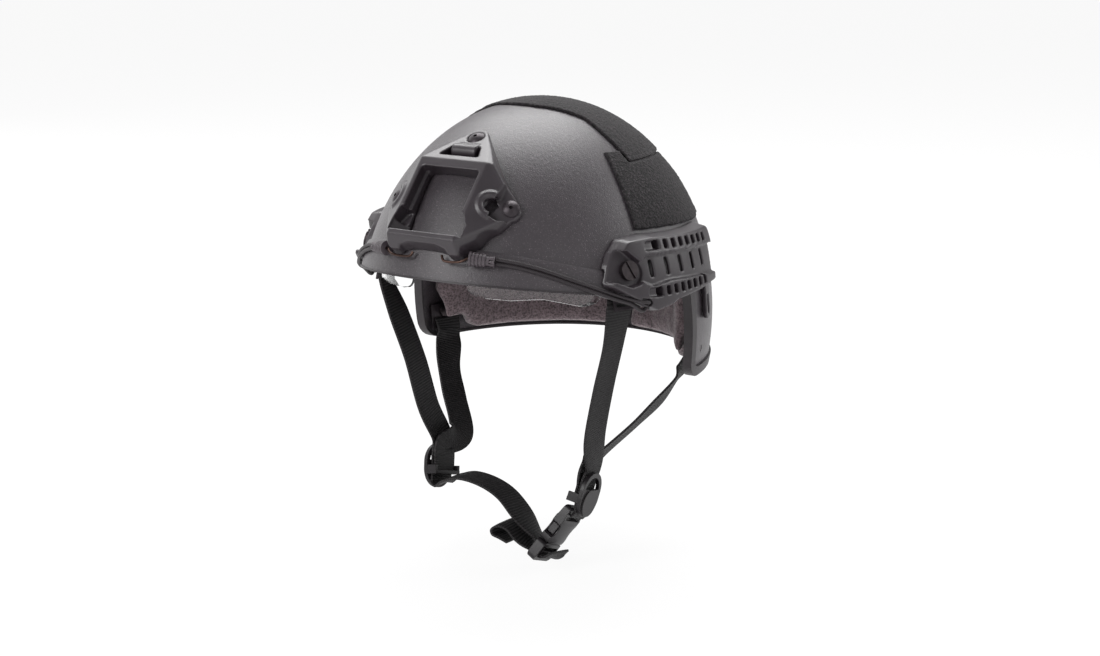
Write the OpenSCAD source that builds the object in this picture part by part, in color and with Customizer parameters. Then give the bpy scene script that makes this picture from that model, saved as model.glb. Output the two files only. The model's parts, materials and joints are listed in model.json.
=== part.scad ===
// High-cut combat helmet with accessory rails, a front device shroud,
// a swing-down clear visor and a four-point chin harness.
// +Z is up, -Y is the front and +X is the wearer's left. The origin is the
// centre of the wearer's head at brow height.

/* [Shell] */
// Width of the shell at its belt line
shell_w = 222; // [214:0.5:232]
// Length of the shell from front to back
shell_l = 263; // [254:0.5:274]
// Height of the crown above the origin
crown_h = 117.5; // [112:0.5:124]
// Wall thickness of the shell
wall = 3.6; // [3:0.1:5]
// Depth of the nape edge below the origin
nape_drop = 58; // [50:0.5:64]
// How far the turned brim band stands out of the dome
brim_flare = 2.4; // [1.2:0.1:3.2]

/* [Front shroud] */
// Width of the window for a device mount
window_w = 44; // [40:0.5:48]
// Height of that window, along its face
window_h = 47; // [44:0.5:50]
// Distance between the two lower screws
lower_screw_gap = 84; // [81:0.5:88]

/* [Rails] */
// How far the rail's ridges stand out of the shell
rail_h = 10; // [8.5:0.1:12]
// Number of small slots in each ridge
ridge_slots = 7; // [5:1:7]
// Number of tall slots in the channel
channel_slots = 5; // [3:1:5]

/* [Visor] */
// Radius of the lens about its hinge line
lens_r = 85; // [83:0.25:86]
// Thickness of the lens
lens_t = 2; // [1.6:0.1:2.4]
// Height of the lens along its curve
lens_h = 60; // [54:1:64]

/* [Harness] */
// Width of the webbing
web_w = 20; // [19:0.5:21]
// Thickness of the webbing
web_t = 1.6; // [1.3:0.1:1.9]
// Thickness of the bungee cord
bungee_d = 2.5; // [2.2:0.1:2.8]

/* [Hidden] */
$fn = 64;

far = 300;
fit = 0.3;
belt_drop = 26;
shell_cy = 3;
semi_x = shell_w / 2;
semi_y = shell_l / 2;
semi_z = crown_h + belt_drop;

// Point of the shell's outer face at a side-view place, on the left side
function side_x(y, z, off = 0) = (semi_x + off) * sqrt(1 - pow((y - shell_cy) / (semi_y + off), 2)
    - pow((z + belt_drop) / (semi_z + off), 2));
// Point of the shell's outer face at a front-view place
function front_y(x, z, off = 0) = shell_cy - (semi_y + off) * sqrt(1 - pow(x / (semi_x + off), 2)
    - pow((z + belt_drop) / (semi_z + off), 2));
function slope_at(p) = [p.x / pow(semi_x, 2), (p.y - shell_cy) / pow(semi_y, 2),
    (p.z + belt_drop) / pow(semi_z, 2)];
function arc(c, r, from, to, n = 6) = [for (i = [0 : n]) let (a = from + (to - from) * i / n)
    [c.x + r * cos(a), c.y + r * sin(a)]];

// Puts its children on the shell at a point, with +Z along the outward normal
module on_shell(p) {
    n = slope_at(p);
    translate(p)
        rotate([0, acos(n.z / norm(n)), atan2(n.y, n.x)])
            children();
}

module left_and_right() {
    children();
    mirror([1, 0, 0])
        children();
}

// The shell's outer face grown by off
module dome(off) {
    translate([0, shell_cy, -belt_drop])
        scale([semi_x + off, semi_y + off, semi_z + off])
            sphere(1, $fn = 180);
}

// A side-view outline made solid across the whole width
module across() {
    rotate([90, 0, 90])
        linear_extrude(2 * far, center = true)
            children();
}

// The same on the left side only
module left_side() {
    rotate([90, 0, 90])
        linear_extrude(far)
            children();
}

// Rim: a brow line sloping to the temples, a high ear cut and a level nape
brow_slope = 0.153;
ear_top = 4;
ear_front = -20;
ear_back = 15;
temple = [[-66, 10.1], [-52, 4], [-42, 1], [-30, 1.5]];
nape_r = 12;

// The shell lies above this outline; a positive grow moves the rim outwards
module kept_outline(grow = 0) {
    polygon(concat(
        [[-far, far * brow_slope - 1.01 * grow]],
        [for (p = temple) p - grow * [0.3, 0.95]],
        arc([ear_front - 2, ear_top - grow - 0.5], 0.5, 180, 90, 2),
        arc([ear_back - 9, ear_top - 9], 9 - grow, 90, 0, 6),
        arc([ear_back + nape_r + 2, nape_r - nape_drop], nape_r + grow, 180, 270, 6),
        [[far, -nape_drop - grow], [far, far], [-far, far]]
    ));
}

// Brim band: a tilted elliptic cylinder that follows the dome's own section
// along the crease, so it stands out evenly and fades at the temples
crease_z = -4.5;
crease_tilt = atan(0.3);
crease_q = pow(cos(crease_tilt) / semi_y, 2) + pow(sin(crease_tilt) / semi_z, 2);
crease_p = -2 * (cos(crease_tilt) * shell_cy / pow(semi_y, 2)
    + sin(crease_tilt) * (crease_z + belt_drop) / pow(semi_z, 2));
crease_k = 1 - pow(shell_cy / semi_y, 2) - pow((crease_z + belt_drop) / semi_z, 2)
    + pow(crease_p, 2) / (4 * crease_q);
crease_c = -crease_p / (2 * crease_q);
crease_x = semi_x * sqrt(crease_k);
crease_y = sqrt(crease_k / crease_q);

module brim_band(off) {
    f = brim_flare + off;
    translate([0, crease_c * cos(crease_tilt), crease_z - crease_c * sin(crease_tilt)])
        rotate([-crease_tilt, 0, 0])
            scale([crease_x / 100, crease_y / 100, 1])
                rotate_extrude($fn = 96)
                    polygon(concat(
                        [[0, -24], [100 + 0.85 * f, -24]],
                        [for (i = [0 : 4]) [100 + 0.85 * f - 3.6 * (1 - cos(i * 15)), 9 * sin(i * 15) * 1.15]],
                        [[0, 9]]
                    ));
}

module outer_body(off) {
    dome(off);
    intersection() {
        brim_band(off);
        translate([-far, -far, -40])
            cube([2 * far, far - 30, 120]);
    }
}

shroud_tilt = 49.5;
shroud_o = [0, -108.7, 68.5];
low_screw_z = 60;
low_screw = [lower_screw_gap / 2, front_y(lower_screw_gap / 2, low_screw_z), low_screw_z];
top_screw_on = [0, front_y(0, 96.6), 96.6];
rail_screw_y = -46.5;
rail_screw_z = 20.8;
rail_screw = [side_x(rail_screw_y, rail_screw_z), rail_screw_y, rail_screw_z];
rear_screw_y = 36;
rear_screw_z = 20;
rear_screw = [side_x(rear_screw_y, rear_screw_z), rear_screw_y, rear_screw_z];
hinge_y = -25;
hinge_z = 12;
hinge = [side_x(hinge_y, hinge_z), hinge_y, hinge_z];
anchor_front = [side_x(-43, 9), -43, 9];
anchor_rear = [side_x(34, -42), 34, -42];

module shell() {
    color("#2f2f33")
        difference() {
            intersection() {
                outer_body(0);
                across() kept_outline();
            }
            dome(-wall);
            for (p = [top_screw_on, low_screw, [-low_screw.x, low_screw.y, low_screw.z]])
                on_shell(p) cylinder(d = 4.4, h = 30, center = true);
            left_and_right() {
                on_shell(rail_screw) cylinder(d = 5.4, h = 30, center = true);
                on_shell(rear_screw) cylinder(d = 4.4, h = 30, center = true);
                on_shell(anchor_front) cylinder(d = 4.4, h = 30, center = true);
                on_shell(anchor_rear) cylinder(d = 4.4, h = 30, center = true);
                translate([hinge.x, hinge_y, hinge_z]) rotate([0, 90, 0]) cylinder(d = 5, h = 40, center = true);
                for (z = [-28, -36, -44])
                    translate([60, 66, z]) rotate([0, 90, 32]) vent_slot();
            }
        }
}

// Short vent slot behind the ear
module vent_slot() {
    linear_extrude(80) {
        square([2.4, 11], center = true);
        for (y = [-5.5, 5.5])
            translate([0, y])
                circle(d = 2.4, $fn = 24);
    }
}

module rim_strip(below, above, y0, y1) {
    intersection() {
        difference() {
            kept_outline(below);
            kept_outline(-above);
        }
        translate([y0, -far])
            square([y1 - y0, 2 * far]);
    }
}

module brim_trim() {
    color("#1d1d1f")
        difference() {
            intersection() {
                outer_body(0.6);
                across() rim_strip(1.2, 0, -far, -46);
            }
            dome(-wall - 0.6);
        }
}

module edge_trim() {
    color("#1d1d1f")
        difference() {
            intersection() {
                dome(1.5);
                across() rim_strip(1.5, 5, -45.5, far);
            }
            dome(-wall - 1.4);
            intersection() {
                outer_body(0);
                across() kept_outline();
            }
        }
}

patch_t = 1.9;

module patch_layer() {
    difference() {
        intersection() {
            dome(patch_t);
            children();
        }
        dome(0);
    }
}

module crown_loop_patch() {
    color("#1b1b1d")
        patch_layer()
            translate([0, 0, 83])
                linear_extrude(80)
                    polygon(concat(
                        [[-78, -2], [-55, -5], [-41, -4.5], [-27, -11], [-12, -18], [0, -19.5]],
                        [[12, -18], [27, -11], [41, -4.5], [55, -5], [78, -2]],
                        arc([0, 12], 78, 10, 170, 16)
                    ));
}

module loop_patch(side) {
    color("#1b1b1d")
        mirror([side < 0 ? 1 : 0, 0, 0])
            patch_layer()
                left_side()
                    polygon([[-18, 90], [-5.6, 89.5], [-4.8, 82.3], [52, 82.3], [64, 66], [70, 41.5], [55, 40],
                        [-28.5, 44.5], [-26, 62], [-22, 79]]);
}

// Front shroud, drawn flat on its face plane: x across, y up the slope, z out
module on_face() {
    translate(shroud_o)
        rotate([shroud_tilt, 0, 0])
            children();
}

half_win = window_w / 2;
seat_h = 3;
win_top = 21;
win_bot = win_top - window_h;

module shroud_outline() {
    polygon(concat(
        arc([0, 51], 7.5, 130, 50, 5),
        [[19.5, 39.5], [36, 19.5]],
        arc([lower_screw_gap / 2 - 0.5, 4.5], 7.5, 35, -60, 5),
        arc([54, -28], 21.5, 127, 165, 5),
        arc([24, -31.5], 3.5, 10, -80, 5),
        arc([19.5, -33], 2, -100, -180, 3),
        [[14.5, -32.6], [10, -31.8], [-10, -31.8], [-14.5, -32.6]],
        arc([-19.5, -33], 2, 0, -80, 3),
        arc([-24, -31.5], 3.5, 260, 170, 5),
        arc([-54, -28], 21.5, 15, 53, 5),
        arc([0.5 - lower_screw_gap / 2, 4.5], 7.5, 240, 145, 5),
        [[-36, 19.5], [-19.5, 39.5]]
    ));
}

module shroud() {
    screws = [top_screw_on, low_screw, [-low_screw.x, low_screw.y, low_screw.z]];
    color("#34343a")
        difference() {
            union() {
                difference() {
                    intersection() {
                        on_face() shroud_block();
                        on_face() translate([0, 0, -45]) linear_extrude(60) shroud_outline();
                    }
                    on_face() {
                        window_cut();
                        translate([0, 0, -45])
                            linear_extrude(60)
                                polygon([[-15, 31.2], [15, 31.2], [8.4, 44.6], [-8.4, 44.6]]);
                    }
                    difference() {
                        on_face() left_and_right() ear_seat();
                        dome(seat_h);
                    }
                }
                on_face() {
                    screw_bridge();
                    left_and_right() hooked_ridge();
                }
            }
            outer_body(fit);
            on_face() left_and_right() ear_hole();
            for (p = screws)
                on_shell(p) {
                    translate([0, 0, -1]) cylinder(d = 4.4, h = 20);
                    translate([0, 0, seat_h]) cylinder(d = 11.8, h = 20);
                }
        }
}

// Flat front frame that falls away to the three screw seats and the feet
module shroud_block() {
    hull() {
        translate([-half_win - 3, -30, -1.2])
            cube([window_w + 6, 57, 1.2]);
        translate([-half_win - 6, -28, -40])
            cube([window_w + 12, 56, 37]);
        for (x = [-1, 1])
            translate([x * (lower_screw_gap / 2 + 3), 4.5, -40])
                cylinder(r = 4, h = 22.2, $fn = 32);
        translate([0, 51, -11.9])
            rotate([-16, 0, 0])
                translate([0, 0, -20])
                    cylinder(r = 8.5, h = 20, $fn = 32);
        translate([-28, -38, -40])
            cube([56, 1, 25.5]);
    }
}

ledge = 1.8;
foot_top = win_bot + 8.6;

// Window with round top corners down to a level of its sides
module window_outline(side, low) {
    polygon(concat(
        arc([side - 2.2, win_top - 2.2], 2.2, 0, 90, 5),
        arc([2.2 - side, win_top - 2.2], 2.2, 90, 180, 5),
        [[-side, low], [side, low]]
    ));
}

module window_cut() {
    translate([0, 0, -7])
        linear_extrude(17)
            window_outline(half_win, foot_top);
    translate([0, 0, -40])
        linear_extrude(50)
            window_outline(half_win - ledge, win_bot);
    // Notches at the foot of each side groove, and the sloping faces below them
    left_and_right() {
        translate([0, 0, -11])
            linear_extrude(20)
                polygon([[half_win - 2.4, win_bot + 18], [half_win + 1.6, win_bot + 17],
                    [half_win + 5.4, foot_top], [half_win - 2.4, foot_top]]);
        translate([0, foot_top + 0.2, 0])
            rotate([90, 0, 0])
                linear_extrude(foot_top + 0.2 - win_bot)
                    polygon([[half_win - 3, 1], [half_win - 3, -13.4], [half_win - ledge, -13.4],
                        [half_win + 5.6, -3.4], [half_win + 5.6, 1]]);
    }
}

// Rounded bridge below the top screw, with an open pocket on each side
module screw_bridge() {
    translate([-9.2, 38.3, -8.4])
        rotate([0, 90, 0])
            cylinder(r = 4.8, h = 18.4, $fn = 48);
    translate([-9.2, 0, 0])
        rotate([90, 0, 90])
            linear_extrude(18.4)
                polygon([[37.6, -3.7], [39, -3.7], [45, -9], [49, -11.2], [49, -20], [37.6, -20]]);
}

// Seat of a lower screw: round behind the ridge, open to the edge above
module ear_seat() {
    translate([0, 0, -45])
        linear_extrude(60)
            polygon(concat(
                [[37, 23], [60, 16], [60, 4], [49.4, 0.6], [44.6, -3.8], [40.6, -6.4]],
                arc([34.5, 1.8], 7.2, -80, -280, 12)
            ));
}

// Thick ridge hooked round the hole beside a lower screw
module hooked_ridge() {
    translate([34.5, 1.8, -8.6])
        rotate([0, 35, 0]) {
            rotate([0, 0, 82])
                rotate_extrude(angle = 196, $fn = 64)
                    translate([7.2, 0])
                        circle(d = 6, $fn = 32);
            for (a = [82, 278])
                translate([7.2 * cos(a), 7.2 * sin(a), 0])
                    sphere(d = 6, $fn = 32);
        }
}

module ear_hole() {
    translate([0, 0, -40])
        linear_extrude(28.6)
            polygon([[29.6, 7.6], [32.6, 8.4], [36, 4.6], [31.6, -2.8], [29.2, -3.4], [28.2, 2]]);
}

module button_screw(grip) {
    difference() {
        union() {
            cylinder(d = 4, h = grip);
            intersection() {
                translate([0, 0, grip]) cylinder(d = 11, h = 3);
                translate([0, 0, grip - 5.2]) sphere(r = 8, $fn = 64);
            }
        }
        translate([0, 0, grip + 1]) cylinder(d = 2.6, h = 4, $fn = 6);
    }
}

module shroud_screws() {
    color("#232327")
        for (p = [top_screw_on, low_screw, [-low_screw.x, low_screw.y, low_screw.z]])
            on_shell(p)
                translate([0, 0, -wall - 1.6])
                    button_screw(wall + 1.6 + seat_h);
}

module nut(od, id, h) {
    difference() {
        cylinder(d = od, h = h, $fn = 6);
        translate([0, 0, -1]) cylinder(d = id, h = h + 2);
    }
}

module shroud_nuts() {
    color("#8c8c92")
        for (p = [top_screw_on, low_screw, [-low_screw.x, low_screw.y, low_screw.z]])
            on_shell(p)
                translate([0, 0, -wall - 1.6])
                    nut(9, 4.02, 1.4);
}

// Side rail, drawn on the left side
rail_top = 42.5;
rail_end = 45;

module rail_outline() {
    polygon(concat(
        arc([-62.6, 15.6], 3, 250, 175, 3),
        [[-60.6, 26.8], [-55.8, 33.3]],
        arc([-44.5, 35], 6.3, 140, 95, 4),
        [[-28, rail_top], [30, rail_top - 2.5]],
        arc([rail_end - 5, 33], 7, 75, 0, 5),
        [[rail_end + 2, 27], [rail_end, 24], [rail_end - 1, 4]],
        [[rail_end - 4, 1], [rail_end - 14, 2.5], [8, 2], [-14, 0.4], [-25.5, -3.2]],
        arc([-33.5, -1.2], 5.6, -60, -130, 5),
        [[-42, -2.8], [-47, 2.8], [-56, 8.6]]
    ));
}

// Long drop-shaped lug that hangs from the rear of the lower ridge
module rail_lug() {
    mid = rail_end - 7.5;
    intersection() {
        dome(3.8);
        left_side()
            difference() {
                polygon(concat([[mid + 4.2, 4], [mid - 3.4, 4]], arc([mid, -18], 4.2, 180, 360, 12)));
                polygon(concat(arc([mid, -17.4], 1.5, 180, 360, 8), [[mid + 1.1, -6], [mid - 1.1, -6]]));
            }
    }
}

module rail_body() {
    intersection() {
        hull() {
            translate([80, 0, 0]) rotate([90, 0, 90]) linear_extrude(1) offset(delta = 1.5) rail_outline();
            translate([93, 0, 0]) rotate([90, 0, 90]) linear_extrude(1) rail_outline();
            translate([121, 0, 0]) rotate([90, 0, 90]) linear_extrude(1) offset(delta = -4.5) rail_outline();
        }
        left_side() rail_outline();
        dome(rail_h);
    }
}

module rail_left_body() {
    ridge_pitch = 56 / ridge_slots;
    slot_w = 4.1;
    slot_h = 5.6;
    difference() {
        union() {
            rail_body();
            rail_lug();
        }
        dome(fit);
        // Room for the brim band behind the front end
        intersection() {
            dome(brim_flare + fit);
            left_side() polygon([[-80, 29], [-29, 14.4], [-29, -30], [-80, -30]]);
        }
        // Channel between the two ridges
        rail_recess(rail_h - 3)
            polygon(concat(
                [[-2, 29.4], [60, 26.4], [60, 7.8], [-18, 13]],
                arc([-33, 18.5], 7, -75, -120, 4),
                [[-44, 16], [-44, 27.5]],
                arc([-35, 24.6], 6, 150, 80, 5)
            ));
        // Open seat of the front screw
        rail_recess(rail_h - 5.4)
            polygon(concat(
                [[-80, 36], [-80, 16.9], [-61.5, 16.9], [-51.5, 12.6]],
                arc([-47.6, 21.6], 8.4, -75, 60, 8),
                [[-50, 35.2]]
            ));
        // Sloping pockets ahead of the slots
        rail_recess(rail_h - 2)
            polygon([[-36, 33.4], [-25, 32.8], [-25, 38.4], [-34.5, 38.8]]);
        rail_recess(rail_h - 2)
            polygon([[-40, 5.4], [-30, 4.6], [-30, 10.4], [-39.5, 10.8]]);
        for (i = [-1 : ridge_slots - 1])
            left_side() {
                translate([-19 + i * ridge_pitch, 32.6 - i * 0.42]) square([slot_w, slot_h]);
                translate([-24.4 + i * (ridge_pitch - 0.7), 4.9 - i * 0.05]) square([slot_w, slot_h]);
            }
        for (i = [0 : channel_slots - 1])
            left_side()
                translate([-33 + i * 73 / channel_slots, 16.6 - i * 0.4]) square([3.3, 10.6]);
        // Way of the bungee into its hole and out below
        for (i = [1 : 9])
            along(bungee_turn[i], bungee_turn[i + 1])
                translate([0, 0, -1.2])
                    cylinder(d = bungee_d + 1.8, h = 2.4 + norm(bungee_turn[i + 1] - bungee_turn[i]), $fn = 32);
        on_shell(rail_screw) cylinder(d = 5.4, h = 40, center = true);
        on_shell(rear_screw) cylinder(d = 4, h = 2 * (rail_h - 5), center = true);
        // Room for the edge trim
        intersection() {
            dome(2);
            translate([80, -33, -30]) cube([60, 54, 40]);
        }
        // Hollow back
        intersection() {
            difference() {
                dome(rail_h - 5);
                dome(-1);
            }
            left_side()
                translate([-30, 14.5]) square([58, 14]);
        }
    }
}

// Cuts the left rail down to a height over the shell, inside a side view
module rail_recess(floor) {
    difference() {
        left_side() children();
        dome(floor);
    }
}

module rail(side) {
    color("#3a3a3e")
        mirror([side < 0 ? 1 : 0, 0, 0])
            rail_left_body();
}

module rail_front_screws() {
    color("#6f6a68")
        left_and_right()
            on_shell(rail_screw)
                difference() {
                    union() {
                        translate([0, 0, -wall - 3.4]) cylinder(d = 5, h = wall + 3.4 + rail_h - 5);
                        translate([0, 0, rail_h - 5]) cylinder(d = 12.4, h = 2.8);
                    }
                    rotate([0, 0, 25])
                        translate([-7, -0.9, rail_h - 3.7]) cube([14, 1.8, 3]);
                }
}

module rail_rear_screws() {
    color("#5c5856")
        left_and_right()
            on_shell(rear_screw) {
                translate([0, 0, -wall - 0.2]) cylinder(d = 4, h = wall + rail_h - 5.6);
                translate([0, 0, -wall - 2.4]) cylinder(d = 8, h = 2.2);
            }
}

module rail_nuts() {
    color("#8c8c92")
        left_and_right()
            on_shell(rail_screw)
                translate([0, 0, -wall - 3.3])
                    nut(9, 5.02, 3.1);
}

// Cord of round section through a list of points
function smooth(pts, k) = let (n = len(pts) - 1) concat(
    [for (i = [0 : n - 1], j = [0 : k - 1])
        let (a = pts[max(i - 1, 0)], b = pts[i], c = pts[i + 1], d = pts[min(i + 2, n)], t = j / k)
            0.5 * (2 * b + (c - a) * t + (2 * a - 5 * b + 4 * c - d) * t * t
                + (3 * b - a - 3 * c + d) * t * t * t)],
    [pts[n]]);
function unit(v) = v / norm(v);
function heading(path, i) = unit(path[min(i + 1, len(path) - 1)] - path[max(i - 1, 0)]);
function square_to(v, d) = unit(v - (v * d) * d);

// Solid swept along a path; rings is one list of corner points per station
module swept(rings) {
    m = len(rings[0]);
    n = len(rings);
    polyhedron(
        [for (ring = rings, p = ring) p],
        concat(
            [[for (k = [0 : m - 1]) k]],
            [for (i = [0 : n - 2], k = [0 : m - 1], half = [0, 1])
                let (a = i * m + k, b = i * m + (k + 1) % m)
                    half == 0 ? [a, a + m, b + m] : [a, b + m, b]],
            [[for (k = [m - 1 : -1 : 0]) (n - 1) * m + k]]
        ));
}

// Round cord or wire through hand-placed points
module cord(pts, d, side, sides = 8, k = 4) {
    path = smooth(pts, k);
    swept([for (i = 0, u = square_to(side, heading(path, 0)); i < len(path);
            u = square_to(u, heading(path, i + 1)), i = i + 1)
        let (w = cross(heading(path, i), u))
            [for (a = [0 : sides - 1]) path[i] + d / 2 * (cos(a * 360 / sides) * u + sin(a * 360 / sides) * w)]]);
}

// Flat webbing through points, with the direction of its width at each
module webbing(pts, wide, w = web_w, k = 5) {
    path = smooth(pts, k);
    across_dir = smooth(wide, k);
    swept([for (i = [0 : len(path) - 1])
        let (d = heading(path, i), u = square_to(across_dir[i], d) * w / 2, v = cross(d, unit(u)) * web_t / 2)
            [path[i] - u - v, path[i] + u - v, path[i] + u + v, path[i] - u + v]]);
}

// Doubled bungee: out along the crease, into the rail's lobe and back
function by_crease(x, z, off) = [x, front_y(x, z, off), z];
strand_gap = bungee_d + 0.2;
bungee_off = brim_flare + bungee_d / 2 + 0.8;
bungee_run = [for (p = [[46, 32.4, 1.8], [58, 29.6, 0.4], [70, 25.2, 0], [81, 19.6, 0]])
    by_crease(p.x, p.y, bungee_off + p.z)];
function by_side(y, z, off) = [side_x(y, z, off), y, z];
bungee_turn = [by_side(-69.4, 13.2, 5.2), by_side(-59.6, 8.6, 5.2), by_side(-50, 4.9, 6), by_side(-44.6, 3.3, 8.2),
    by_side(-40.6, 2.2, 8.8), by_side(-38, 1.2, 6.4), by_side(-37.4, -1.6, 3.6), by_side(-39.4, -3.6, 3.2),
    by_side(-43, -2.6, 3.6), by_side(-47.4, 0.4, 4.6), by_side(-52, 2.9, 5), by_side(-60.2, 6, 5.2),
    by_side(-69.6, 10.5, 5.2)];

module bungee(side) {
    color("#18181a")
        mirror([side < 0 ? 1 : 0, 0, 0])
            cord(concat(
                [for (p = bungee_run) p + [0, 0, strand_gap / 2]],
                bungee_turn,
                [for (i = [len(bungee_run) - 1 : -1 : 0]) bungee_run[i] - [0, 0, strand_gap / 2]]
            ), bungee_d, [0, 0, 1]);
}

// Ribbed sleeve that grips the doubled cord on the hook's shank
sleeve_at = by_crease(41, 33, 7.2);
sleeve_to = by_crease(31.5, 34, 7.9);
sleeve_dir = unit(sleeve_to - sleeve_at);

module along(p, q) {
    v = q - p;
    translate(p)
        rotate([0, acos(v.z / norm(v)), atan2(v.y, v.x)])
            children();
}

module bungee_sleeve(side) {
    color("#2b2b2e")
        mirror([side < 0 ? 1 : 0, 0, 0])
            along(sleeve_at, sleeve_to)
                difference() {
                    union() {
                        cylinder(d1 = 7.2, d2 = 8.2, h = 10.6);
                        for (i = [0 : 4])
                            translate([0, 0, 0.3 + i * 2.2]) cylinder(d1 = 7.9 + i * 0.3, d2 = 8 + i * 0.3, h = 1.4);
                        translate([0, 0, -5.5]) cylinder(d1 = 6.8, d2 = 6, h = 5.6);
                    }
                    translate([0, 0, 5]) cylinder(d = 2.5, h = 8);
                    translate([0, 0, -6]) cube([2.6, 6.2, 8], center = true);
                }
}

// Bent wire hook from the sleeve round the shroud's foot
module bungee_hook(side) {
    tip_x = side > 0 ? 13 : 9;
    color("#6b5147")
        mirror([side < 0 ? 1 : 0, 0, 0])
            cord([sleeve_to - sleeve_dir * 4, sleeve_to + sleeve_dir * 0.8, [26.6, -122.4, 32],
                [20, -123.2, 31.2], [tip_x + 2, -123.6, 31.8], [tip_x, -122.6, 34.6]], 1.7, [0, 0, 1]);
}

// Foam pads, each held by loop dots inside the shell
pad_gap = 1.6;
pad_t = 15;

module pad_layer(thick) {
    difference() {
        intersection() {
            dome(-wall - pad_gap);
            children();
        }
        dome(-wall - pad_gap - thick);
    }
}

module crown_pad() {
    color("#3c3a3c")
        pad_layer(pad_t)
            translate([0, 12, 30])
                cylinder(d = 82, h = 100);
}

module front_pad() {
    color("#3c3a3c")
        difference() {
            pad_layer(pad_t)
                translate([0, 0, 80])
                    linear_extrude(60)
                        intersection() {
                            square([76, 400], center = true);
                            translate([0, -132])
                                square([200, 192], center = true);
                        }
            on_shell(top_screw_on) cylinder(d = 12, h = 14, center = true);
        }
}

module side_pad(side) {
    color("#3c3a3c")
        mirror([side < 0 ? 1 : 0, 0, 0])
            pad_layer(pad_t)
                left_side()
                    polygon(concat(
                        arc([-4, 36], 6, 180, 270, 4),
                        arc([42, 36], 6, 270, 360, 4),
                        arc([42, 66], 6, 0, 90, 4),
                        arc([-4, 66], 6, 90, 180, 4)
                    ));
}

module nape_pad(side) {
    color("#57524f")
        mirror([side < 0 ? 1 : 0, 0, 0])
            difference() {
                pad_layer(pad_t)
                    intersection() {
                        left_side()
                            polygon(concat(
                                arc([31, -4], 8, 90, 180, 4),
                                arc([29, -49], 6, 180, 250, 4),
                                [[40, -57], [far, -57], [far, 4]]
                            ));
                        translate([1, 0, -100]) cube([200, 200, 200]);
                    }
                // Room for the rear strap and its anchor
                on_shell(anchor_rear) {
                    translate([-12, -14, -wall - 9]) cube([40, 28, 12]);
                    translate([8, -16, -wall - 18]) cube([30, 32, 20]);
                }
            }
}

// Loop dots between the pads and the shell
module pad_dots() {
    color("#2b2b2e") {
        dot_layer([0, 12, crown_h], 40);
        left_and_right() {
            dot_layer([22, front_y(22, 90), 90], 18);
            dot_layer([side_x(8, 51), 8, 51], 26);
            dot_layer([side_x(34, 51), 34, 51], 26);
            dot_layer([side_x(54, -27), 54, -27], 26);
            dot_layer([side_x(96, -27), 96, -27], 26);
        }
    }
}

module dot_layer(p, d) {
    difference() {
        intersection() {
            dome(-wall - 0.1);
            on_shell(p) cylinder(d = d, h = 60, center = true);
        }
        dome(-wall - pad_gap);
    }
}

// Metal tabs that hold the straps inside the shell
module strap_anchors() {
    color("#6f6a68")
        left_and_right()
            for (p = [anchor_front, anchor_rear])
                on_shell(p)
                    difference() {
                        union() {
                            translate([-5, -10.5, -wall - 3.4]) cube([17, 21, 1.4]);
                            translate([0, 0, -wall - 2.2]) cylinder(d = 7.6, h = 2);
                        }
                        translate([0, 0, -wall - 5]) cylinder(d = 4.2, h = 6);
                        translate([7, -8.8, -wall - 5]) cube([2.6, 17.6, 6]);
                    }
}

module anchor_screws() {
    color("#5c5856")
        left_and_right()
            for (p = [anchor_front, anchor_rear])
                on_shell(p) {
                    translate([0, 0, -wall - 5.5]) cylinder(d = 8, h = 2);
                    translate([0, 0, -wall - 3.6]) cylinder(d = 4, h = wall + 3.4);
                }
}

// Harness: each strap runs from its anchor through the side slider
slider_c = [56.8, -29, -133];
slider_dir = unit([0.16, 0.28, 1]);
slider_w = square_to([-0.05, 1, 0], slider_dir);
slider_n = cross(slider_w, slider_dir);
left_wide = -slider_w;
front_wide = [-0.12, -1, 0];
function in_slider(up, out) = slider_c + slider_dir * up + slider_n * out;
rear_run = [by_side(33, -46, -9), by_side(32, -54, -10.5), [92.6, 28, -63], [86, 18.6, -76], [73, 7, -93],
    [56, -8.4, -113], in_slider(14, -2.2), in_slider(5, -1.2), in_slider(-5, -1.2)];
rear_wide = [[0.05, -0.8, -0.6], [-0.1, -0.75, -0.65], [0.1, -0.9, -0.3], [0.4, -0.75, 0.5], [0.45, -0.75, 0.45],
    [0.2, -0.95, 0.2], left_wide, left_wide, left_wide];

// Upper run of a front strap; the right one hangs a little further in
function front_run(pull) = [by_side(-43, 2.6, -8.5), by_side(-44.5, -4, -9.4), [87.4 - pull, -43, -27],
    [77.4 - pull, -38.4, -58], [66.8, -31.4, -92], in_slider(20, 1.6), in_slider(7, 1.1), in_slider(-7, 1.2)];
front_turn = [[-0.33, -0.94, 0], [-0.3, -0.95, 0], front_wide, front_wide, front_wide,
    left_wide, left_wide, left_wide];

module front_strap_left() {
    to_socket = [buckle_pt([-4.25, 0, -2.9]), buckle_pt([-3.8, 0, 1.4])];
    color("#1c1c1e")
        webbing(concat(front_run(0), to_socket), concat(front_turn, [-buckle_w, -buckle_w]));
}

module front_strap_right() {
    color("#1c1c1e")
        mirror([1, 0, 0])
            webbing(front_run(5), [for (w = front_turn) w == front_wide ? left_wide : w]);
}

module rear_strap(side) {
    color("#1c1c1e")
        mirror([side < 0 ? 1 : 0, 0, 0])
            webbing(rear_run, rear_wide);
}

// Clear visor: a band of an ellipsoid about the hinge line, so it slides in itself
lens_semi_x = lens_r + 3;
lens_mid = 19;

module visor_frame() {
    translate([0, hinge_y, hinge_z])
        rotate([-lens_mid, 0, 0])
            children();
}

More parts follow.
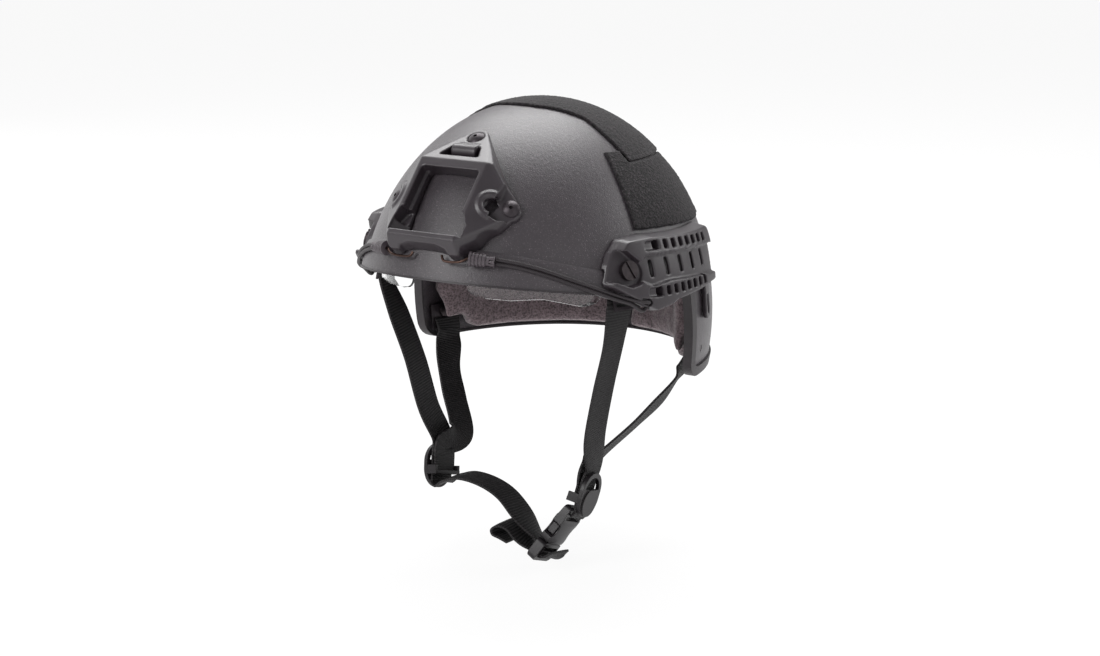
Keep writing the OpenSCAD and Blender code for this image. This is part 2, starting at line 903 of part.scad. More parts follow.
module lens_outline() {
    half = lens_h / 2;
    polygon(concat(
        arc([70, half - 17], 12, 0, 75, 5),
        [[45, half - 0.5], [0, half + 2], [-45, half - 0.5]],
        arc([-70, half - 17], 12, 105, 180, 5),
        arc([-70, 18 - half - 2], 12, 180, 240, 4),
        [[-62, 5 - half], [-46, 0.5 - half], [-32, -0.8 - half]],
        arc([-27, 6 - half], 6.5, 260, 350, 4),
        arc([0, 9 - half], 14, 175, 5, 8),
        arc([27, 6 - half], 6.5, 190, 280, 4),
        [[32, -0.8 - half], [46, 0.5 - half], [62, 5 - half]],
        arc([70, 18 - half - 2], 12, 300, 360, 4)
    ));
}

module lens_ball(in) {
    scale([lens_semi_x - in, lens_r - in, lens_r - in])
        sphere(1, $fn = 96);
}

module visor_lens() {
    color("#dfe6e6", 0.4)
        visor_frame()
            difference() {
                intersection() {
                    lens_ball(0);
                    rotate([90, 0, 0])
                        linear_extrude(200)
                            lens_outline();
                }
                lens_ball(lens_t);
                left_and_right()
                    at_rivets() cylinder(d = 2.8, h = 12, center = true);
            }
}

// The two rivets that join the lens to its arm, +Z through the lens
module at_rivets() {
    for (z = [-6, 6])
        translate([rivet_at.x, rivet_at.y, z])
            rotate([0, 90, rivet_turn])
                children();
}

rivet_at = [77, -lens_r * sqrt(1 - pow(77 / lens_semi_x, 2)) + 0.5];
rivet_turn = -27;
pin_in = 92;
arm_t = 2.5;

module visor_arm(side) {
    root = [pin_in, 0];
    near = [82.2 - 0.3, -19];
    tip = [72.2, -(lens_r - lens_t) * sqrt(1 - pow(72.2 / (lens_semi_x - lens_t), 2)) + 0.6];
    mid = [78, -(lens_r - lens_t) * sqrt(1 - pow(78 / (lens_semi_x - lens_t), 2)) + 0.35];
    color("#2b2b2e")
        mirror([side < 0 ? 1 : 0, 0, 0])
            visor_frame()
                difference() {
                    union() {
                        intersection() {
                            translate([0, 0, -9])
                                linear_extrude(18)
                                    polygon([tip, mid, near + [0.9, -0.4], root + [arm_t, -5], root + [arm_t, 2],
                                        root + [0, 2], root + [0, -4], near - [1.9, -0.9],
                                        mid - [2.4, -1.3], tip - [2.3, -1.4]]);
                            rotate([0, 90, 0]) rotate([0, 0, 90])
                                linear_extrude(100)
                                    polygon([[-48, -9], [-20, -9], [3, -7], [3, 7], [-20, 9], [-48, 9]]);
                        }
                        translate([pin_in, 0, 0]) rotate([0, 90, 0]) cylinder(r = 7, h = arm_t);
                    }
                    translate([80, 0, 0]) rotate([0, 90, 0]) cylinder(d = 5.16, h = 40);
                    at_rivets() cylinder(d = 2.8, h = 14, center = true);
                    difference() {
                        translate([60, -60, -20]) cube([24, 40, 40]);
                        lens_ball(lens_t + 0.2);
                    }
                }
}

module visor_rivets() {
    color("#6f6a68")
        left_and_right()
            visor_frame()
                at_rivets() {
                    translate([0, 0, -5.2]) cylinder(d = 2.8, h = 6.8);
                    translate([0, 0, 0.75]) cylinder(d = 5, h = 0.9);
                    translate([0, 0, -6]) cylinder(d = 5, h = 0.9);
                }
}

module visor_pins() {
    color("#6f6a68")
        left_and_right()
            translate([0, hinge_y, hinge_z])
                rotate([0, 90, 0]) {
                    translate([0, 0, pin_in - 1]) cylinder(d = 5, h = 11.2);
                    translate([0, 0, pin_in - 2.2]) cylinder(d = 8, h = 2);
                }
    color("#6f6a68")
        left_and_right()
            difference() {
                intersection() {
                    translate([pin_in + arm_t + 0.2, hinge_y, hinge_z]) rotate([0, 90, 0]) cylinder(d = 11, h = 12);
                    dome(-wall);
                }
                translate([0, hinge_y, hinge_z]) rotate([0, 90, 0]) cylinder(d = 5, h = 200);
            }
}

// Oval strap slider: a window in front, a disc pad and a bar behind the webbing
module slider(side) {
    color("#2e2e31")
        mirror([side < 0 ? 1 : 0, 0, 0])
            translate(slider_c)
                multmatrix([
                    [slider_w.x, slider_dir.x, slider_n.x, 0],
                    [slider_w.y, slider_dir.y, slider_n.y, 0],
                    [slider_w.z, slider_dir.z, slider_n.z, 0]
                ])
                    slider_body();
}

// Drawn flat: x across the webbing, y up, z outward
module slider_body() {
    slot = web_t + 1.4;
    difference() {
        union() {
            translate([0, 0, slot])
                linear_extrude(2.6)
                    oval(12.8, 2.2, 48);
            translate([0, -5, slot + 1]) cylinder(r = 9.4, h = 2.6);
            for (x = [-1, 1])
                translate([x * 11.6 - 1, -6, -slot - 1.6]) cube([2, 6, 2 * slot + 2.6]);
            translate([-12.6, -6, -slot - 1.8]) cube([25.2, 2.6, 1.5]);
        }
        translate([0, 0, slot - 1])
            linear_extrude(8)
                intersection() {
                    oval(9.6, 2.2, 48);
                    translate([0, 13.6]) square([40, 20], center = true);
                }
    }
}

module oval(r, half, sides) {
    translate([0, half]) circle(r = r, $fn = sides);
    translate([0, -half]) circle(r = r, $fn = sides);
    square([2 * r, 2 * half], center = true);
}

// Side-release buckle under the left jaw
buckle_top = [51.5, -33, -146];
buckle_low = [34, -46, -174.5];
buckle_d = unit(buckle_low - buckle_top);
buckle_w = square_to([0.06, 1, 0], buckle_d);
buckle_n = cross(buckle_w, buckle_d);

// Drawn straight: x out of the face, y across, z from the socket to the plug
module on_buckle() {
    multmatrix([
        [buckle_n.x, buckle_w.x, buckle_d.x, buckle_top.x],
        [buckle_n.y, buckle_w.y, buckle_d.y, buckle_top.y],
        [buckle_n.z, buckle_w.z, buckle_d.z, buckle_top.z]
    ])
        children();
}
function buckle_pt(p) = buckle_top + buckle_n * p.x + buckle_w * p.y + buckle_d * p.z;

half_buckle = web_w / 2 + 2.8;

// Rounded block of the buckle from z0 to z1, fuller in the middle of its width
module buckle_block(z0, z1, r, profile) {
    intersection() {
        rotate([90, 0, 90])
            linear_extrude(12, center = true)
                polygon(concat(
                    arc([half_buckle - r, z1 - r], r, 0, 90, 5),
                    arc([r - half_buckle, z1 - r], r, 90, 180, 5),
                    arc([r - half_buckle, z0 + r], r, 180, 270, 5),
                    arc([half_buckle - r, z0 + r], r, 270, 360, 5)
                ));
        rotate([90, 0, 0])
            linear_extrude(40, center = true)
                polygon(concat(profile, [for (i = [len(profile) - 1 : -1 : 0]) [-profile[i].x, profile[i].y]]));
        translate([0, 0, z0 - 1])
            scale([4.7, half_buckle + 6, 1])
                cylinder(r = 1, h = z1 - z0 + 2);
    }
}

module buckle_socket() {
    color("#2e2e31")
        on_buckle()
            difference() {
                buckle_block(-4, 24, 2.6, [[2.2, -4], [2.6, -3], [3, 4], [4.7, 8], [4.7, 23], [4, 24]]);
                translate([-2.9, -half_buckle + 1.7, 7]) cube([5.8, 2 * half_buckle - 3.4, 30]);
                // Oval side windows where the prongs are squeezed
                for (y = [-1, 1])
                    translate([-10, y * (half_buckle + 0.4), 14.4])
                        scale([1, 0.62, 1])
                            rotate([0, 90, 0])
                                cylinder(r = 5, h = 20);
                // Webbing slots either side of the bar
                translate([-6, -web_w / 2 - 0.6, -2.4]) cube([12, web_w + 1.2, 2.8]);
                translate([-6, -web_w / 2 - 0.6, 2.6]) cube([12, web_w + 1.2, 2.6]);
            }
}

// Plug with its centre tongue, two prongs and the ladder bars for the webbing
module buckle_plug() {
    color("#2e2e31")
        on_buckle()
            difference() {
                union() {
                    buckle_block(24.6, 39, 2.8, [[3.2, 24.6], [3.8, 25.4], [3.8, 34], [2.6, 39]]);
                    translate([-2.4, -2.6, 9]) cube([4.8, 5.2, 17]);
                    for (y = [-1, 1]) {
                        translate([-2.4, y * 7.4 - 1.2, 11]) cube([4.8, 2.4, 15]);
                        translate([-2.4, y * 8.7 - 2.2, 10.6]) cube([4.8, 4.4, 7]);
                    }
                }
                translate([-6, -web_w / 2 - 0.6, 27.6]) cube([12, web_w + 1.2, 3.2]);
                translate([-6, -web_w / 2 - 0.6, 33]) cube([12, web_w + 1.2, 3]);
            }
}

chin_run = [buckle_pt([-1, 0, 29.3]), buckle_pt([3.6, 0, 29]), buckle_pt([9.4, 0, 27.4]), [19.6, -43.8, -151],
    [5.6, -42.4, -139.4], [-10, -41.4, -133.6], [-28, -39.6, -132.6], [-43, -36.4, -137.4], [-51.6, -33.2, -142.6],
    mirrored(in_slider(-10.6, 1))];
function mirrored(p) = [-p.x, p.y, p.z];

module chin_strap() {
    color("#1c1c1e")
        webbing(chin_run, [for (i = [0 : 9]) i < 3 ? -buckle_w : i < 9 ? [-0.05, -1, 0] : mirrored(left_wide)]);
}

module chin_strap_tail() {
    color("#1c1c1e")
        webbing([buckle_pt([-10.6, -4, 25]), buckle_pt([-8.6, -2, 30]), buckle_pt([-5, 0, 33.6]),
            buckle_pt([0, 0, 34.5]), buckle_pt([5, 0, 34.4]), [22.4, -48, -163], [16, -48.4, -157.4],
            [9, -48.6, -156.2], [4, -48.7, -159.4], [4.8, -48.8, -163], [10, -48.8, -164.4],
            [16.4, -48.8, -166.4]], [for (i = [0 : 11]) i < 5 ? -buckle_w : [0, -1, 0]]);
}

shell();
brim_trim();
edge_trim();
crown_loop_patch();
loop_patch(1);  // loop_patch_left
loop_patch(-1);  // loop_patch_right
shroud();
shroud_screws();
shroud_nuts();
rail(1);  // rail_left
rail(-1);  // rail_right
rail_front_screws();
rail_rear_screws();
rail_nuts();
bungee(1);  // bungee_left
bungee(-1);  // bungee_right
bungee_sleeve(1);  // bungee_sleeve_left
bungee_sleeve(-1);  // bungee_sleeve_right
bungee_hook(1);  // bungee_hook_left
bungee_hook(-1);  // bungee_hook_right
crown_pad();
front_pad();
side_pad(1);  // side_pad_left
side_pad(-1);  // side_pad_right
nape_pad(1);  // nape_pad_left
nape_pad(-1);  // nape_pad_right
pad_dots();
strap_anchors();
anchor_screws();
front_strap_left();
front_strap_right();
rear_strap(1);  // rear_strap_left
rear_strap(-1);  // rear_strap_right
visor_pins();
visor_lens();
visor_arm(1);  // visor_arm_left
visor_arm(-1);  // visor_arm_right
visor_rivets();
slider(1);  // slider_left
slider(-1);  // slider_right
buckle_socket();
buckle_plug();
chin_strap();
chin_strap_tail();
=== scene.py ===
# Combat helmet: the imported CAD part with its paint, moulded plastic, pile, webbing, foam and clear lens
import bpy
import bmesh
import json
import math
from mathutils import Matrix, Vector, noise


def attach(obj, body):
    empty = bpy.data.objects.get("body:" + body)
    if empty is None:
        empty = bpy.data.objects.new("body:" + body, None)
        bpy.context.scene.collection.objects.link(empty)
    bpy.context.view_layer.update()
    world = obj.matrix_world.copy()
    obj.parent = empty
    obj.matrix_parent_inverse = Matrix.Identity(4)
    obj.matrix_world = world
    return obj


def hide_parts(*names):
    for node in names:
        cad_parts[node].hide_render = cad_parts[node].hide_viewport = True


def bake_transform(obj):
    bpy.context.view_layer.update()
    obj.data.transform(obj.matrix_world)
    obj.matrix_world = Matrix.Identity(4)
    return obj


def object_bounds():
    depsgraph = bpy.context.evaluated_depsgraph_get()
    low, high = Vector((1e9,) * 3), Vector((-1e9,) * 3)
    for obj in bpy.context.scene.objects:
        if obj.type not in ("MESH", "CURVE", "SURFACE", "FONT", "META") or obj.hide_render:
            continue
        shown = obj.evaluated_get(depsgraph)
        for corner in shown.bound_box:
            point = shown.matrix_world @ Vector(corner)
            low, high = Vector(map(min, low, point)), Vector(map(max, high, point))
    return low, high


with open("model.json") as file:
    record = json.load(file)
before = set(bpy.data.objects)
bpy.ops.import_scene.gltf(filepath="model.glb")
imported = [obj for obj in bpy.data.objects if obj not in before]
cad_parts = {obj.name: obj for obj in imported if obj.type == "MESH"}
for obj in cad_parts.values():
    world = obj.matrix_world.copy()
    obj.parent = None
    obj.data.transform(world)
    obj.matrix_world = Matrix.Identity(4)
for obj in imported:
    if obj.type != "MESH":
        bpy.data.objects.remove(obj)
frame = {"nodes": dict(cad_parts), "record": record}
nodes = frame["nodes"]
cadBox = [list(corner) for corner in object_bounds()]
print("frame loaded:", len(nodes), "nodes")

mm = 0.001


def hexToLinear(text):
    parts = [int(text[i:i + 2], 16) / 255 for i in (1, 3, 5)]
    return [c / 12.92 if c <= 0.04045 else ((c + 0.055) / 1.055) ** 2.4 for c in parts] + [1.0]


def addNode(tree, kind, settings=None, inputs=None, links=None):
    node = tree.nodes.new(kind)
    for key, value in (settings or {}).items():
        setattr(node, key, value)
    for key, value in (inputs or {}).items():
        node.inputs[key].default_value = value
    for key, source in (links or {}).items():
        tree.links.new(source, node.inputs[key])
    return node


def newMaterial(name, shaderInputs):
    material = bpy.data.materials.new(name)
    material.use_nodes = True
    tree = material.node_tree
    shader = tree.nodes["Principled BSDF"]
    for key, value in shaderInputs.items():
        shader.inputs[key].default_value = value
    return material, tree, shader, addNode(tree, "ShaderNodeTexCoord")


# Joins a pattern to the shader: two colours by its mask, its relief, and softened edges under it
def applyPattern(tree, shader, mask, colours, relief, depthMm, edgeMm=0.0):
    mix = addNode(tree, "ShaderNodeMix", {"data_type": "RGBA"},
                  {6: hexToLinear(colours[0]), 7: hexToLinear(colours[1])}, {0: mask})
    bumpLinks = {"Height": relief}
    if edgeMm:
        edge = addNode(tree, "ShaderNodeBevel", {"samples": 4}, {"Radius": edgeMm * mm})
        bumpLinks["Normal"] = edge.outputs["Normal"]
    bump = addNode(tree, "ShaderNodeBump", inputs={"Distance": depthMm * mm}, links=bumpLinks)
    tree.links.new(mix.outputs[2], shader.inputs["Base Color"])
    tree.links.new(bump.outputs["Normal"], shader.inputs["Normal"])
    return mix


# Sprayed polyurethane paint on aramid: charcoal with an orange peel and fine grit, whose flecks are painted
# lighter as painted glints and are smoother
paint = {"base": "#2a2529", "cloud": "#332d32", "paintedGlint": "#7a7076", "cloudMm": 90.91, "gritMm": 0.55,
         "gritFrom": 0.66, "gritTo": 0.76, "peelMm": 2.4, "peelShare": 0.8, "depthMm": 0.22,
         "roughness": 0.44, "glintRoughness": 0.18, "coat": 0.25, "coatRoughness": 0.45}


def sprayedPaint():
    material, tree, shader, coords = newMaterial("sprayedGritPaint", {
        "IOR": 1.5, "Coat Weight": paint["coat"], "Coat Roughness": paint["coatRoughness"]})
    place = coords.outputs["Object"]
    grit = addNode(tree, "ShaderNodeTexNoise", inputs={"Scale": 1 / (paint["gritMm"] * mm), "Detail": 1.0},
                   links={"Vector": place})
    grain = addNode(tree, "ShaderNodeMapRange",
                    inputs={"From Min": paint["gritFrom"], "From Max": paint["gritTo"]},
                    links={"Value": grit.outputs["Fac"]})
    peel = addNode(tree, "ShaderNodeTexNoise", inputs={"Scale": 1 / (paint["peelMm"] * mm), "Detail": 3.0},
                   links={"Vector": place})
    relief = addNode(tree, "ShaderNodeMath", {"operation": "MULTIPLY_ADD"}, {1: paint["peelShare"]},
                     {0: peel.outputs["Fac"], 2: grit.outputs["Fac"]})
    # The grit flecks are painted in a lighter colour as painted glints, over their real relief and lower
    # roughness
    mix = applyPattern(tree, shader, grain.outputs["Result"], (paint["base"], paint["paintedGlint"]),
                       relief.outputs[0], paint["depthMm"])
    clouds = addNode(tree, "ShaderNodeTexNoise", inputs={"Scale": 1 / (paint["cloudMm"] * mm), "Detail": 3.0},
                     links={"Vector": place})
    body = addNode(tree, "ShaderNodeMix", {"data_type": "RGBA"},
                   {6: hexToLinear(paint["base"]), 7: hexToLinear(paint["cloud"])},
                   {0: clouds.outputs["Fac"]})
    tree.links.new(body.outputs[2], mix.inputs[6])
    rough = addNode(tree, "ShaderNodeMapRange",
                    inputs={"To Min": paint["roughness"], "To Max": paint["glintRoughness"]},
                    links={"Value": grain.outputs["Result"]})
    tree.links.new(rough.outputs["Result"], shader.inputs["Roughness"])
    return material


# Glass-filled nylon and acetal from spark-eroded moulds: satin, with a leathery fine grain and soft edges.
# The real grain is finer than 0.9 mm, which is drawn so that it shows in the render
nylon = {"name": "mouldedGlassNylon", "ior": 1.53, "colours": ("#272226", "#302a2f"), "roughness": 0.38,
         "edgeMm": 0.6}
acetal = {"name": "mouldedAcetal", "ior": 1.41, "colours": ("#141114", "#1d191c"), "roughness": 0.42,
          "edgeMm": 0.7}
mouldSkin = {"cloudMm": 18.18, "grainMm": 0.9, "depthMm": 0.035, "smoother": 0.06, "rougher": 0.08}


def mouldedPlastic(look):
    material, tree, shader, coords = newMaterial(look["name"], {"IOR": look["ior"]})
    place = coords.outputs["Object"]
    clouds = addNode(tree, "ShaderNodeTexNoise",
                     inputs={"Scale": 1 / (mouldSkin["cloudMm"] * mm), "Detail": 4.0},
                     links={"Vector": place})
    grain = addNode(tree, "ShaderNodeTexNoise",
                    inputs={"Scale": 1 / (mouldSkin["grainMm"] * mm), "Detail": 2.0},
                    links={"Vector": place})
    applyPattern(tree, shader, clouds.outputs["Fac"], look["colours"], grain.outputs["Fac"],
                 mouldSkin["depthMm"], look["edgeMm"])
    rough = addNode(tree, "ShaderNodeMapRange",
                    inputs={"To Min": look["roughness"] - mouldSkin["smoother"],
                            "To Max": look["roughness"] + mouldSkin["rougher"]},
                    links={"Value": clouds.outputs["Fac"]})
    tree.links.new(rough.outputs["Result"], shader.inputs["Roughness"])
    return material


# Extruded edge strip and moulded sleeves of rubber: matt black, dusty where it catches lint
edgeRubber = {"name": "extrudedEdgeRubber", "colours": ("#1a1619", "#2d272b"), "roughness": 0.5}
sleeveRubber = {"name": "mouldedSleeveRubber", "colours": ("#332c31", "#4b4348"), "roughness": 0.45}
rubberSkin = {"dustMm": 4.545, "grainMm": 0.9, "depthMm": 0.05, "edgeMm": 0.5}


def mattRubber(look):
    material, tree, shader, coords = newMaterial(look["name"], {"IOR": 1.5, "Roughness": look["roughness"]})
    place = coords.outputs["Object"]
    dust = addNode(tree, "ShaderNodeTexNoise",
                   inputs={"Scale": 1 / (rubberSkin["dustMm"] * mm), "Detail": 3.0}, links={"Vector": place})
    grain = addNode(tree, "ShaderNodeTexNoise",
                    inputs={"Scale": 1 / (rubberSkin["grainMm"] * mm), "Detail": 2.0},
                    links={"Vector": place})
    applyPattern(tree, shader, dust.outputs["Fac"], look["colours"], grain.outputs["Fac"],
                 rubberSkin["depthMm"], rubberSkin["edgeMm"])
    return material


# Knitted nylon loop pile: a dull black mat of tiny loops, drawn twice as coarse as real loops so that they
# show;
# the loop tips are painted lighter as painted highlight and the gaps between them darker as painted shade
pileLook = {"root": "#0a090a", "tip": "#443c41", "loopMm": 1.2, "tuftMm": 2.2, "loopFrom": 0.15,
            "loopTo": 0.75, "leanFrom": 0.3, "leanTo": 0.8, "depthMm": 0.7, "sheen": 0.03}


def loopPile():
    material, tree, shader, coords = newMaterial("knittedLoopPile", {
        "Roughness": 0.92, "IOR": 1.45, "Sheen Weight": pileLook["sheen"], "Sheen Roughness": 0.5})
    place = coords.outputs["Object"]
    loops = addNode(tree, "ShaderNodeTexVoronoi", inputs={"Scale": 1 / (pileLook["loopMm"] * mm)},
                    links={"Vector": place})
    tips = addNode(tree, "ShaderNodeMapRange",
                   inputs={"From Min": pileLook["loopFrom"], "From Max": pileLook["loopTo"],
                           "To Min": 1.0, "To Max": 0.0},
                   links={"Value": loops.outputs["Distance"]})
    tufts = addNode(tree, "ShaderNodeTexNoise",
                    inputs={"Scale": 1 / (pileLook["tuftMm"] * mm), "Detail": 4.0}, links={"Vector": place})
    lean = addNode(tree, "ShaderNodeMapRange",
                   inputs={"From Min": pileLook["leanFrom"], "From Max": pileLook["leanTo"]},
                   links={"Value": tufts.outputs["Fac"]})
    shade = addNode(tree, "ShaderNodeMath", {"operation": "MULTIPLY"},
                    links={0: tips.outputs["Result"], 1: lean.outputs["Result"]})
    # Loop tips painted lighter as painted highlight, the gaps between loops darker as painted shade; the same
    # mask gives the real relief
    applyPattern(tree, shader, shade.outputs[0], (pileLook["root"], pileLook["tip"]), shade.outputs[0],
                 pileLook["depthMm"])
    return material


# Woven polypropylene webbing: black, ribbed across, with a fine row of threads, painted darker between them
# as painted shade; its UV map is in metres
webbingLook = {"threadGapShade": "#080708", "crown": "#1d181b", "ribMm": 1.9, "rowMm": 1.2, "ribBend": 0.6,
               "rowBend": 0.3, "depthMm": 0.4}


def wovenWebbing():
    material, tree, shader, coords = newMaterial("wovenPolypropylene", {"Roughness": 0.62, "IOR": 1.4})
    weave = []  # Wave's bands lie about 0.31 / scale apart, so 1 / pitch / pi sets them at the pitch
    for direction, pitch, bend in (("X", webbingLook["ribMm"], webbingLook["ribBend"]),
                                   ("Y", webbingLook["rowMm"], webbingLook["rowBend"])):
        weave.append(addNode(tree, "ShaderNodeTexWave", {"bands_direction": direction},
                             {"Scale": 1 / (pitch * mm) / math.pi, "Distortion": bend, "Detail": 1.0},
                             {"Vector": coords.outputs["UV"]}).outputs["Fac"])
    both = addNode(tree, "ShaderNodeMath", {"operation": "MULTIPLY"}, links={0: weave[0], 1: weave[1]})
    # The weave's hollows are painted darker as painted shade; the same mask gives the real ribs
    applyPattern(tree, shader, both.outputs[0], (webbingLook["threadGapShade"], webbingLook["crown"]),
                 both.outputs[0], webbingLook["depthMm"])
    return material


# Braided polyester cover over rubber: fine crossing yarns, painted darker between them as painted shade; its
# UV map is in metres
braidLook = {"yarnGapShade": "#171316", "crown": "#40373c", "yarnMm": 0.8, "turn": 0.9, "depthMm": 0.12}


def braidedCover():
    material, tree, shader, coords = newMaterial("braidedPolyesterCover", {"Roughness": 0.55, "IOR": 1.45})
    waves = []
    for turn in (braidLook["turn"], -braidLook["turn"]):
        turned = addNode(tree, "ShaderNodeMapping", inputs={"Rotation": (0, 0, turn)},
                         links={"Vector": coords.outputs["UV"]})
        waves.append(addNode(tree, "ShaderNodeTexWave",
                             inputs={"Scale": 1 / (braidLook["yarnMm"] * mm) / math.pi},
                             links={"Vector": turned.outputs[0]}).outputs["Fac"])
    braid = addNode(tree, "ShaderNodeMath", {"operation": "MULTIPLY"}, links={0: waves[0], 1: waves[1]})
    # The gaps between the yarns are painted darker as painted shade; the same mask gives the real relief
    applyPattern(tree, shader, braid.outputs[0], (braidLook["yarnGapShade"], braidLook["crown"]), braid.outputs[0],
                 braidLook["depthMm"])
    return material


# Polyether foam under brushed nylon: warm grey-brown with random flecks, its open cells painted darker as
# painted shade
foamLook = {"cellShade": "#3a3134", "wall": "#6d6063", "cellMm": 1.3, "fleckMm": 2.381, "cellShare": 0.7,
            "wallFrom": 0.5, "wallTo": 1.1, "depthMm": 0.3, "sheen": 0.25}


def openFoam():
    material, tree, shader, coords = newMaterial("brushedFoam", {
        "Roughness": 0.95, "IOR": 1.4, "Sheen Weight": foamLook["sheen"]})
    place = coords.outputs["Object"]
    cells = addNode(tree, "ShaderNodeTexVoronoi", inputs={"Scale": 1 / (foamLook["cellMm"] * mm)},
                    links={"Vector": place})
    fleck = addNode(tree, "ShaderNodeTexNoise",
                    inputs={"Scale": 1 / (foamLook["fleckMm"] * mm), "Detail": 3.0}, links={"Vector": place})
    mask = addNode(tree, "ShaderNodeMath", {"operation": "MULTIPLY_ADD"}, {1: foamLook["cellShare"]},
                   {0: cells.outputs["Distance"], 2: fleck.outputs["Fac"]})
    level = addNode(tree, "ShaderNodeMapRange",
                    inputs={"From Min": foamLook["wallFrom"], "From Max": foamLook["wallTo"]},
                    links={"Value": mask.outputs[0]})
    # The open cells are painted darker as painted shade, mixed with random flecks; the same mask gives the
    # real pits
    applyPattern(tree, shader, level.outputs["Result"], (foamLook["cellShade"], foamLook["wall"]),
                 level.outputs["Result"], foamLook["depthMm"])
    return material


# Steel parts: blackened, zinc plated or copper flashed, stained here and there, with fine handling scratches
blackSteel = {"name": "blackenedSteel", "colours": ("#2b262a", "#3c363a"), "roughness": 0.4, "metallic": 0.6}
wornSteel = {"name": "dulledPlatedSteel", "colours": ("#5c5658", "#3f3a3c"), "roughness": 0.36,
             "metallic": 1.0}
zincSteel = {"name": "zincPlatedSteel", "colours": ("#b9b6b2", "#94908c"), "roughness": 0.35, "metallic": 1.0}
copperWire = {"name": "copperFlashedWire", "colours": ("#4f3d37", "#332a27"), "roughness": 0.36,
              "metallic": 1.0}
steelSkin = {"stainMm": 3.333, "scratchMm": 0.8, "depthMm": 0.03, "edgeMm": 0.35, "smoother": 0.1,
             "rougher": 0.15}


def steel(look):
    material, tree, shader, coords = newMaterial(look["name"], {"Metallic": look["metallic"]})
    place = coords.outputs["Object"]
    stain = addNode(tree, "ShaderNodeTexNoise",
                    inputs={"Scale": 1 / (steelSkin["stainMm"] * mm), "Detail": 5.0}, links={"Vector": place})
    scratch = addNode(tree, "ShaderNodeTexNoise",
                      inputs={"Scale": 1 / (steelSkin["scratchMm"] * mm), "Detail": 4.0},
                      links={"Vector": place})
    applyPattern(tree, shader, stain.outputs["Fac"], look["colours"], scratch.outputs["Fac"],
                 steelSkin["depthMm"], steelSkin["edgeMm"])
    rough = addNode(tree, "ShaderNodeMapRange",
                    inputs={"To Min": look["roughness"] - steelSkin["smoother"],
                            "To Max": look["roughness"] + steelSkin["rougher"]},
                    links={"Value": scratch.outputs["Fac"]})
    tree.links.new(rough.outputs["Result"], shader.inputs["Roughness"])
    return material


# Clear hard-coated polycarbonate: see-through and glossy, with bright edges and a few specks of dust
lensLook = {"clear": "#fbfcfc", "dust": "#e6e7e7", "dustMm": 2.0, "dustFrom": 0.72, "dustTo": 0.8,
            "roughness": 0.01, "dustRoughness": 0.15}


def clearPolycarbonate():
    material, tree, shader, coords = newMaterial("clearPolycarbonate", {
        "IOR": 1.45, "Transmission Weight": 1.0})
    dust = addNode(tree, "ShaderNodeTexNoise", inputs={"Scale": 1 / (lensLook["dustMm"] * mm), "Detail": 1.0},
                   links={"Vector": coords.outputs["Object"]})
    specks = addNode(tree, "ShaderNodeMapRange",
                     inputs={"From Min": lensLook["dustFrom"], "From Max": lensLook["dustTo"]},
                     links={"Value": dust.outputs["Fac"]})
    tint = addNode(tree, "ShaderNodeMix", {"data_type": "RGBA"},
                   {6: hexToLinear(lensLook["clear"]), 7: hexToLinear(lensLook["dust"])},
                   {0: specks.outputs["Result"]})
    tree.links.new(tint.outputs[2], shader.inputs["Base Color"])
    rough = addNode(tree, "ShaderNodeMapRange",
                    inputs={"To Min": lensLook["roughness"], "To Max": lensLook["dustRoughness"]},
                    links={"Value": specks.outputs["Result"]})
    tree.links.new(rough.outputs["Result"], shader.inputs["Roughness"])
    return material


looks = {"paint": sprayedPaint(), "nylon": mouldedPlastic(nylon), "acetal": mouldedPlastic(acetal),
         "edgeRubber": mattRubber(edgeRubber), "sleeveRubber": mattRubber(sleeveRubber),
         "pile": loopPile(), "webbing": wovenWebbing(), "braid": braidedCover(), "foam": openFoam(),
         "blackSteel": steel(blackSteel), "wornSteel": steel(wornSteel), "zinc": steel(zincSteel),
         "hookSteel": steel(copperWire), "lens": clearPolycarbonate()}
print("materials made:", len(looks))

slotLooks = {"shell_paint": "paint", "edge_rubber": "edgeRubber", "loop_fabric": "pile",
             "moulded_plastic": "nylon", "black_screws": "blackSteel", "zinc_nuts": "zinc",
             "aged_screws": "wornSteel", "bungee_cord": "braid", "sleeve_rubber": "sleeveRubber",
             "hook_wire": "hookSteel", "pad_foam": "foam", "anchor_steel": "blackSteel",
             "webbing": "webbing", "clear_lens": "lens", "buckle_plastic": "acetal"}
slotOf = {part["node"]: part["material_slot"] for part in frame["record"]["subparts"]}


# Smooth shading up to a crease angle, as a geometry node group that leaves the CAD mesh alone
def smoothGroup(name, crease):
    group = bpy.data.node_groups.new(name, "GeometryNodeTree")
    group.interface.new_socket("Geometry", in_out="INPUT", socket_type="NodeSocketGeometry")
    group.interface.new_socket("Geometry", in_out="OUTPUT", socket_type="NodeSocketGeometry")
    start = addNode(group, "NodeGroupInput")
    merged = addNode(group, "GeometryNodeMergeByDistance", inputs={"Distance": 0.01 * mm},
                     links={"Geometry": start.outputs[0]})
    angle = addNode(group, "GeometryNodeInputMeshEdgeAngle")
    sharp = addNode(group, "FunctionNodeCompare", {"data_type": "FLOAT", "operation": "GREATER_THAN"},
                    {"B": math.radians(crease)}, {"A": angle.outputs["Unsigned Angle"]})
    faces = addNode(group, "GeometryNodeSetShadeSmooth", {"domain": "FACE"}, {"Shade Smooth": True},
                    {"Geometry": merged.outputs[0]})
    edges = addNode(group, "GeometryNodeSetShadeSmooth", {"domain": "EDGE"}, {"Shade Smooth": False},
                    {"Geometry": faces.outputs[0], "Selection": sharp.outputs["Result"]})
    addNode(group, "NodeGroupOutput", links={0: edges.outputs[0]})
    return group


creaseGroup = smoothGroup("creaseShading", 28)


